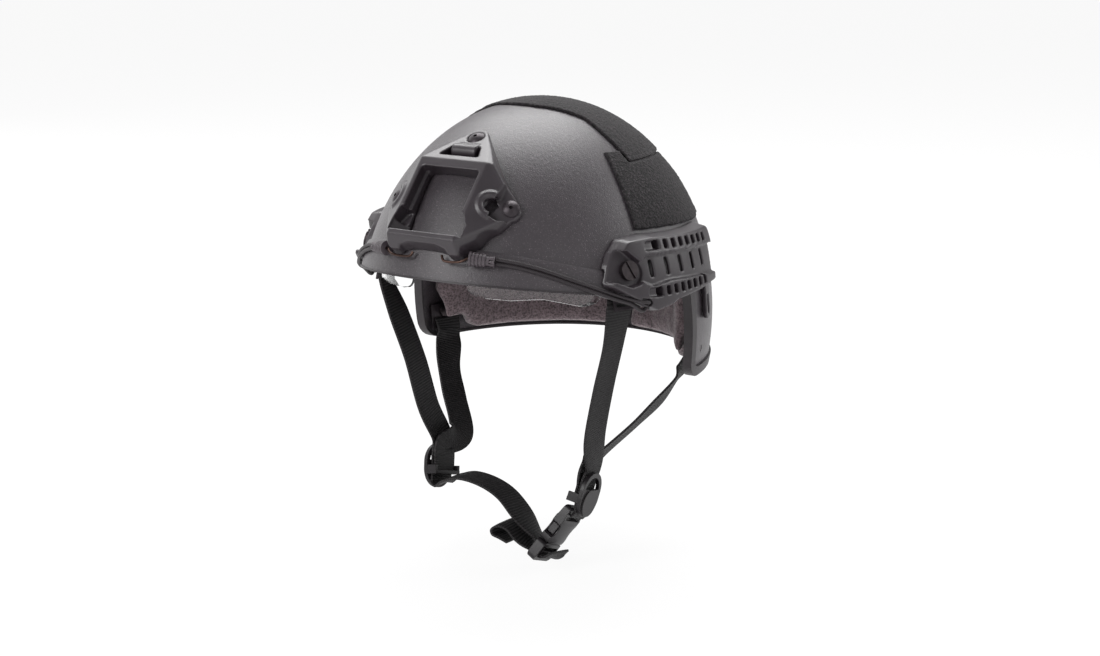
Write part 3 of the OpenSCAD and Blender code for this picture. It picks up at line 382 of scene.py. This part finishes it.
def dressNode(name):
    obj = nodes[name]
    obj.data.materials.clear()
    obj.data.materials.append(looks[slotLooks[slotOf[name]]])
    if "custom_normal" in obj.data.attributes:
        obj.data.attributes.remove(obj.data.attributes["custom_normal"])
    obj.modifiers.new("creaseShading", "NODES").node_group = creaseGroup


for nodeName in nodes:
    dressNode(nodeName)
print("CAD nodes dressed")


# A new piece takes the finish and the place of the CAD nodes that it replaces
def finishPiece(mesh, name, body, replaced):
    obj = bpy.data.objects.new(name, mesh)
    bpy.context.scene.collection.objects.link(obj)
    slot = slotOf[replaced[0]]
    mesh.materials.clear()
    mesh.materials.append(looks[slotLooks[slot]])
    for polygon in mesh.polygons:
        polygon.use_smooth = True
    if body:  # The chin strap has no body and is left unattached
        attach(obj, body)
    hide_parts(*replaced)
    return obj


# A smooth curve through the points, with the given number of steps between two of them
def easedRoute(points, steps):
    last = len(points) - 1
    route = []
    for i in range(last):
        a, b, c, d = points[max(i - 1, 0)], points[i], points[i + 1], points[min(i + 2, last)]
        for j in range(steps):
            t = j / steps
            route.append(0.5 * (2 * b + (c - a) * t + (2 * a - 5 * b + 4 * c - d) * t * t
                                + (3 * b - a - 3 * c + d) * t ** 3))
    return route + [points[last]]


# Webbing: a grid laid along the strap's route in millimetres, then thickened
harness = {"width": 20, "thickness": 1.5, "steps": 12, "columns": 6, "edgeDrop": 0.25, "selvedge": 0.4,
           "selvedgeAngle": 50}


def layStrap(name, points, widths, body, replaced):
    route = easedRoute([Vector(p) * mm for p in points], harness["steps"])
    across = easedRoute([Vector(w) for w in widths], harness["steps"])
    last = len(route) - 1
    travelled = [0.0]
    for i in range(last):
        travelled.append(travelled[-1] + (route[i + 1] - route[i]).length)
    bm = bmesh.new()
    uvLayer = bm.loops.layers.uv.new("UVMap")
    bmesh.ops.create_grid(bm, x_segments=last, y_segments=harness["columns"], size=1, calc_uvs=False)
    uvOf = {}
    for vert in bm.verts:
        i = round((vert.co.x + 1) / 2 * last)
        share = vert.co.y
        heading = (route[min(i + 1, last)] - route[max(i - 1, 0)]).normalized()
        side = (across[i] - across[i].dot(heading) * heading).normalized()
        drop = harness["edgeDrop"] * mm * share ** 4
        uvOf[vert] = (travelled[i], share * harness["width"] * mm / 2)
        vert.co = route[i] + side * share * harness["width"] * mm / 2 - heading.cross(side) * drop
    for face in bm.faces:
        for loop in face.loops:
            loop[uvLayer].uv = uvOf[loop.vert]
    mesh = bpy.data.meshes.new(name)
    bm.to_mesh(mesh)
    bm.free()
    obj = finishPiece(mesh, name, body, replaced)
    solid = obj.modifiers.new("thickness", "SOLIDIFY")
    solid.thickness = harness["thickness"] * mm
    solid.offset = 0
    rounded = obj.modifiers.new("roundedSelvedge", "BEVEL")
    rounded.width = harness["selvedge"] * mm
    rounded.segments = 2
    rounded.limit_method = "ANGLE"
    rounded.angle_limit = math.radians(harness["selvedgeAngle"])
    return obj


def mirrored(vectors):
    return [[-v[0], v[1], v[2]] for v in vectors]


# The straps' points, and which way their width runs at each of them
anchorTurn = [[-0.33, -0.94, 0], [-0.3, -0.95, 0]]
frontTurn = [[-0.12, -1, 0]] * 3
sliderTurn = [[0.09, -0.96, 0.25]] * 3
buckleTurn = [[0.14, -0.93, 0.34]]
layStrap("frontWebbingLeft",
         [[92.5, -43, 2.6], [92.1, -44.5, -4], [87.4, -43, -27], [77.4, -38.4, -58], [66.8, -31.4, -92],
          [61.4, -23.6, -114.2], [59, -27.1, -126.5], [56.9, -30.8, -139.9], [56.6, -32.2, -145.8],
          [54.1, -33.7, -149]],
         anchorTurn + frontTurn + sliderTurn + buckleTurn * 2, "helmet", ["front_strap_left"])
layStrap("frontWebbingRight",
         [[-92.5, -43, 2.6], [-92.1, -44.5, -4], [-82.4, -43, -27], [-72.4, -38.4, -58], [-66.8, -31.4, -92],
          [-61.4, -23.6, -114.2], [-59, -27.1, -126.5], [-56.9, -30.8, -139.9], [-56.3, -31.9, -143.8]],
         mirrored(anchorTurn + sliderTurn * 2 + sliderTurn[:1]), "helmet", ["front_strap_right"])
rearRoute = [[97.7, 33, -46], [95.2, 32, -54], [92.6, 28, -63], [86, 18.6, -76], [73, 7, -93],
             [56, -8.4, -113], [56.8, -25.4, -119.3], [56.4, -27.7, -128], [54.9, -30.4, -137.6]]
rearTurn = [[0.05, -0.8, -0.6], [-0.1, -0.75, -0.65], [0.1, -0.9, -0.3], [0.4, -0.75, 0.5],
            [0.45, -0.75, 0.45], [0.2, -0.95, 0.2]] + sliderTurn
layStrap("rearWebbingLeft", rearRoute, rearTurn, "helmet", ["rear_strap_left"])
layStrap("rearWebbingRight", mirrored(rearRoute), mirrored(rearTurn), "helmet", ["rear_strap_right"])
chin = layStrap("chinWebbing",
                [[38.1, -43.7, -169.8], [34.3, -43.3, -167.2], [30, -42.4, -163], [19.6, -43.8, -151],
                 [5.6, -42.4, -139.4], [-10, -41.4, -133.6], [-28, -39.6, -132.6], [-43, -36.4, -137.4],
                 [-51.6, -33.2, -142.6], [-56.2, -31.8, -143.3]],
                buckleTurn * 3 + [[-0.05, -1, 0]] * 6 + mirrored(sliderTurn[:1]), None, ["chin_strap"])
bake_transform(chin)
layStrap("tailWebbing",
         [[49, -46.3, -169.9], [44.6, -46.2, -173.5], [39.4, -45.4, -175.2], [34.7, -45.5, -173.4],
          [30.4, -45.2, -170.8], [22.4, -48, -163], [16, -48.4, -157.4], [9, -48.6, -156.2],
          [4, -48.7, -159.4], [4.8, -48.8, -163], [10, -48.8, -164.4], [16.4, -48.8, -166.4]],
         buckleTurn * 5 + [[0, -1, 0]] * 7, "plug", ["chin_strap_tail"])
print("webbing laid")


# Bungee: one cord out to the rail and back, as a beveled curve
bungeeCord = {"diameter": 2.5, "steps": 6, "resolution": 3}
bungeeRoute = [[46, -111.8, 33.75], [58, -103.4, 30.95], [70, -94.3, 26.55], [81, -84.3, 20.95],
               [93.7, -69.4, 13.2], [99.7, -59.6, 8.6], [105.2, -50, 4.9], [109.7, -44.6, 3.3],
               [111.7, -40.6, 2.2], [110, -38, 1.2], [107.7, -37.4, -1.6], [107, -39.4, -3.6],
               [106.2, -43, -2.6], [105.4, -47.4, 0.4], [103.7, -52, 2.9], [100, -60.2, 6],
               [94.2, -69.6, 10.5], [81, -84.3, 18.25], [70, -94.3, 23.85], [58, -103.4, 28.25],
               [46, -111.8, 31.05]]


def layCord(name, points, replaced):
    route = easedRoute([Vector(p) * mm for p in points], bungeeCord["steps"])
    curve = bpy.data.curves.new(name, "CURVE")
    curve.dimensions = "3D"
    curve.bevel_depth = bungeeCord["diameter"] / 2 * mm
    curve.bevel_resolution = bungeeCord["resolution"]
    curve.use_fill_caps = True
    spline = curve.splines.new("POLY")
    spline.points.add(len(route) - 1)
    for point, place in zip(spline.points, route):
        point.co = (*place, 1)
    holder = bpy.data.objects.new(name + "Curve", curve)
    bpy.context.scene.collection.objects.link(holder)
    bpy.context.view_layer.update()
    mesh = bpy.data.meshes.new_from_object(holder.evaluated_get(bpy.context.evaluated_depsgraph_get()))
    bpy.data.objects.remove(holder)
    length = sum((b - a).length for a, b in zip(route, route[1:]))
    for entry in mesh.uv_layers[0].data if mesh.uv_layers else []:
        entry.uv = (entry.uv[0] * length, entry.uv[1] * math.pi * bungeeCord["diameter"] * mm)
    return finishPiece(mesh, name, "helmet", replaced)


layCord("bungeeLeft", bungeeRoute, ["bungee_left"])
layCord("bungeeRight", mirrored(bungeeRoute), ["bungee_right"])
print("bungees laid")


# Softened, pile and foam pieces start from a merged copy of their CAD solid, remeshed evenly
weld = {"merge": 0.01, "sliver": 0.005, "relax": 0.5}


def remeshed(nodeName, pieceName, voxel, smoothing):
    bm = bmesh.new()
    bm.from_mesh(nodes[nodeName].data)
    bmesh.ops.remove_doubles(bm, verts=bm.verts, dist=weld["merge"] * mm)
    bmesh.ops.dissolve_degenerate(bm, edges=bm.edges, dist=weld["sliver"] * mm)
    mesh = bpy.data.meshes.new(pieceName)
    bm.to_mesh(mesh)
    bm.free()
    holder = bpy.data.objects.new(pieceName + "Holder", mesh)
    bpy.context.scene.collection.objects.link(holder)
    remesh = holder.modifiers.new("remesh", "REMESH")
    remesh.mode = "VOXEL"
    remesh.voxel_size = voxel * mm
    relax = holder.modifiers.new("relax", "SMOOTH")
    relax.factor = weld["relax"]
    relax.iterations = smoothing
    bpy.context.view_layer.update()
    result = bpy.data.meshes.new_from_object(holder.evaluated_get(bpy.context.evaluated_depsgraph_get()))
    bpy.data.objects.remove(holder)
    result.name = pieceName
    return result


# Moulded pieces with the soft radii that a mould leaves on every edge
moulded = {"voxel": 0.62, "smoothing": 5,
           "pieces": {"shroud": "softShroud", "rail_left": "softRailLeft", "rail_right": "softRailRight"}}
for nodeName, pieceName in moulded["pieces"].items():
    mesh = remeshed(nodeName, pieceName, moulded["voxel"], moulded["smoothing"])
    finishPiece(mesh, pieceName, "helmet", [nodeName])
print("moulded pieces softened")

# Pile: tufts raised a little along the surface's own direction, on the patches and the dots under the pads
pile = {"voxel": 0.85, "smoothing": 1, "tuft": 0.3, "tuftMm": 1.4,
        "pieces": {"crown_loop_patch": "crownPile", "loop_patch_left": "sidePileLeft",
                   "loop_patch_right": "sidePileRight", "pad_dots": "padDots"}}
for seed, (nodeName, pieceName) in enumerate(pile["pieces"].items()):
    mesh = remeshed(nodeName, pieceName, pile["voxel"], pile["smoothing"])
    normals = [vert.normal.copy() for vert in mesh.vertices]
    for vert, normal in zip(mesh.vertices, normals):
        height = noise.noise(vert.co / (pile["tuftMm"] * mm) + Vector((seed, 0, 0)))
        vert.co += normal * pile["tuft"] * mm * height
    finishPiece(mesh, pieceName, "helmet", [nodeName])
print("pile made")


# Pads: a slightly smaller copy that Cloth blows up, held to a small swell
padFill = {"voxel": 4.5, "smoothing": 6, "shrink": 0.9, "pressure": 4, "swell": 1.6, "frames": 20,
           "fill": 0.9,
           "pieces": {"crown_pad": "crownPad", "front_pad": "frontPad", "side_pad_left": "sidePadLeft",
                      "side_pad_right": "sidePadRight", "nape_pad_left": "napePadLeft",
                      "nape_pad_right": "napePadRight"}}


def inflated(nodeName, pieceName):
    mesh = remeshed(nodeName, pieceName, padFill["voxel"], padFill["smoothing"])
    for vert, normal in [(vert, vert.normal.copy()) for vert in mesh.vertices]:
        vert.co -= normal * padFill["shrink"] * mm
    holder = bpy.data.objects.new(pieceName + "Cloth", mesh)
    bpy.context.scene.collection.objects.link(holder)
    cloth = holder.modifiers.new("filling", "CLOTH")
    cloth.settings.use_pressure = True
    cloth.settings.uniform_pressure_force = padFill["pressure"]
    cloth.settings.effector_weights.gravity = 0
    for step in range(1, padFill["frames"] + 1):
        bpy.context.scene.frame_set(step)
    blown = bpy.data.meshes.new_from_object(holder.evaluated_get(bpy.context.evaluated_depsgraph_get()))
    bpy.data.objects.remove(holder)
    for vert, start in zip(blown.vertices, mesh.vertices):
        move = vert.co - start.co
        vert.co = start.co + move * min(1, padFill["swell"] * mm / max(move.length, 1e-9))
    blown.name = pieceName
    return blown


for nodeName, pieceName in padFill["pieces"].items():
    pad = finishPiece(inflated(nodeName, pieceName), pieceName, "helmet", [nodeName])
    rounding = pad.modifiers.new("rounded", "SUBSURF")
    rounding.levels = rounding.render_levels = 1
bpy.context.scene.frame_set(1)
print("pads filled")


# Floor, light and camera
studio = {"floor": "#f6f4f5", "floorHalf": 12, "floorDrop": 2, "world": 0.3, "glow": 0.92}

floorMesh = bpy.data.meshes.new("floor")
bm = bmesh.new()
bmesh.ops.create_grid(bm, x_segments=1, y_segments=1, size=studio["floorHalf"])
bmesh.ops.translate(bm, verts=bm.verts, vec=(0, 0, cadBox[0][2] - studio["floorDrop"] * mm))
bm.to_mesh(floorMesh)
bm.free()
floor = bpy.data.objects.new("floor", floorMesh)
bpy.context.scene.collection.objects.link(floor)

# Matt studio floor: it glows for the camera, gloss and glass, and still holds the shadow
floorLook, tree, shader, coords = newMaterial("paleStudioFloor", {
    "Roughness": 0.9, "Base Color": hexToLinear(studio["floor"])})
rays = addNode(tree, "ShaderNodeLightPath")
white = addNode(tree, "ShaderNodeEmission", inputs={"Color": (1, 1, 1, 1), "Strength": 1.0})
seen = addNode(tree, "ShaderNodeMath", {"operation": "MAXIMUM"},
               links={0: rays.outputs["Is Camera Ray"], 1: rays.outputs["Is Glossy Ray"]})
seenThrough = addNode(tree, "ShaderNodeMath", {"operation": "MAXIMUM"},
                      links={0: seen.outputs[0], 1: rays.outputs["Is Transmission Ray"]})
share = addNode(tree, "ShaderNodeMath", {"operation": "MULTIPLY"}, {1: studio["glow"]},
                {0: seenThrough.outputs[0]})
mixed = addNode(tree, "ShaderNodeMixShader",
                links={0: share.outputs[0], 1: shader.outputs[0], 2: white.outputs[0]})
tree.links.new(mixed.outputs[0], tree.nodes["Material Output"].inputs["Surface"])
floorMesh.materials.append(floorLook)

# Room: white where the camera or the lens sees it, and a plain low light on the object
world = bpy.data.worlds.new("softRoom")
bpy.context.scene.world = world
world.use_nodes = True
tree = world.node_tree
backdrop = tree.nodes["Background"]
backdrop.inputs["Color"].default_value = (1, 1, 1, 1)
rays = addNode(tree, "ShaderNodeLightPath")
seen = addNode(tree, "ShaderNodeMath", {"operation": "MAXIMUM"},
               links={0: rays.outputs["Is Camera Ray"], 1: rays.outputs["Is Transmission Ray"]})
level = addNode(tree, "ShaderNodeMapRange", inputs={"To Min": studio["world"], "To Max": 1.0},
                links={"Value": seen.outputs[0]})
tree.links.new(level.outputs[0], backdrop.inputs["Strength"])

# Soft boxes, all turned to the middle of the helmet; places and sizes in metres
softBoxes = {"keySoftBox": {"place": (-0.6, -1.9, 1.0), "size": (1.0, 0.9), "watts": 32},
             "fillSoftBox": {"place": (1.9, -0.9, 0.7), "size": (1.0, 1.4), "watts": 7},
             "topSoftBox": {"place": (-0.5, 0.8, 1.7), "size": (1.8, 1.4), "watts": 60},
             "edgeSoftBox": {"place": (-1.9, 0.3, 0.8), "size": (1.8, 1.8), "watts": 15},
             "rearSoftBox": {"place": (1.3, 1.5, 0.9), "size": (1.0, 1.0), "watts": 16}}
for name, box in softBoxes.items():
    light = bpy.data.lights.new(name, "AREA")
    light.shape = "RECTANGLE"
    light.size, light.size_y = box["size"]
    light.energy = box["watts"]
    lamp = bpy.data.objects.new(name, light)
    lamp.location = box["place"]
    lamp.rotation_euler = (-Vector(box["place"])).to_track_quat("-Z", "Y").to_euler()
    bpy.context.scene.collection.objects.link(lamp)

# Camera fitted to the photograph's outline: 33.8 degrees round, 11.3 up, 1.4 m away
view = {"round": 33.77, "up": 11.30, "away": 1.4, "lens": 68.9, "sensor": 36, "shift": (0.0131, -0.0475),
        "clip": (0.05, 50)}
turn, rise = math.radians(view["round"]), math.radians(view["up"])
back = Vector((math.sin(turn) * math.cos(rise), -math.cos(turn) * math.cos(rise), math.sin(rise)))
facing = back.to_track_quat("Z", "Y").to_matrix().to_4x4()
cameraData = bpy.data.cameras.new("studioCamera")
cameraData.lens = view["lens"]
cameraData.sensor_width = view["sensor"]
cameraData.shift_x, cameraData.shift_y = view["shift"]
cameraData.clip_start, cameraData.clip_end = view["clip"]
camera = bpy.data.objects.new("studioCamera", cameraData)
camera.matrix_world = Matrix.Translation(back * view["away"]) @ facing
bpy.context.scene.collection.objects.link(camera)
bpy.context.scene.camera = camera
bpy.context.scene.view_settings.view_transform = "Standard"
print("studio set")
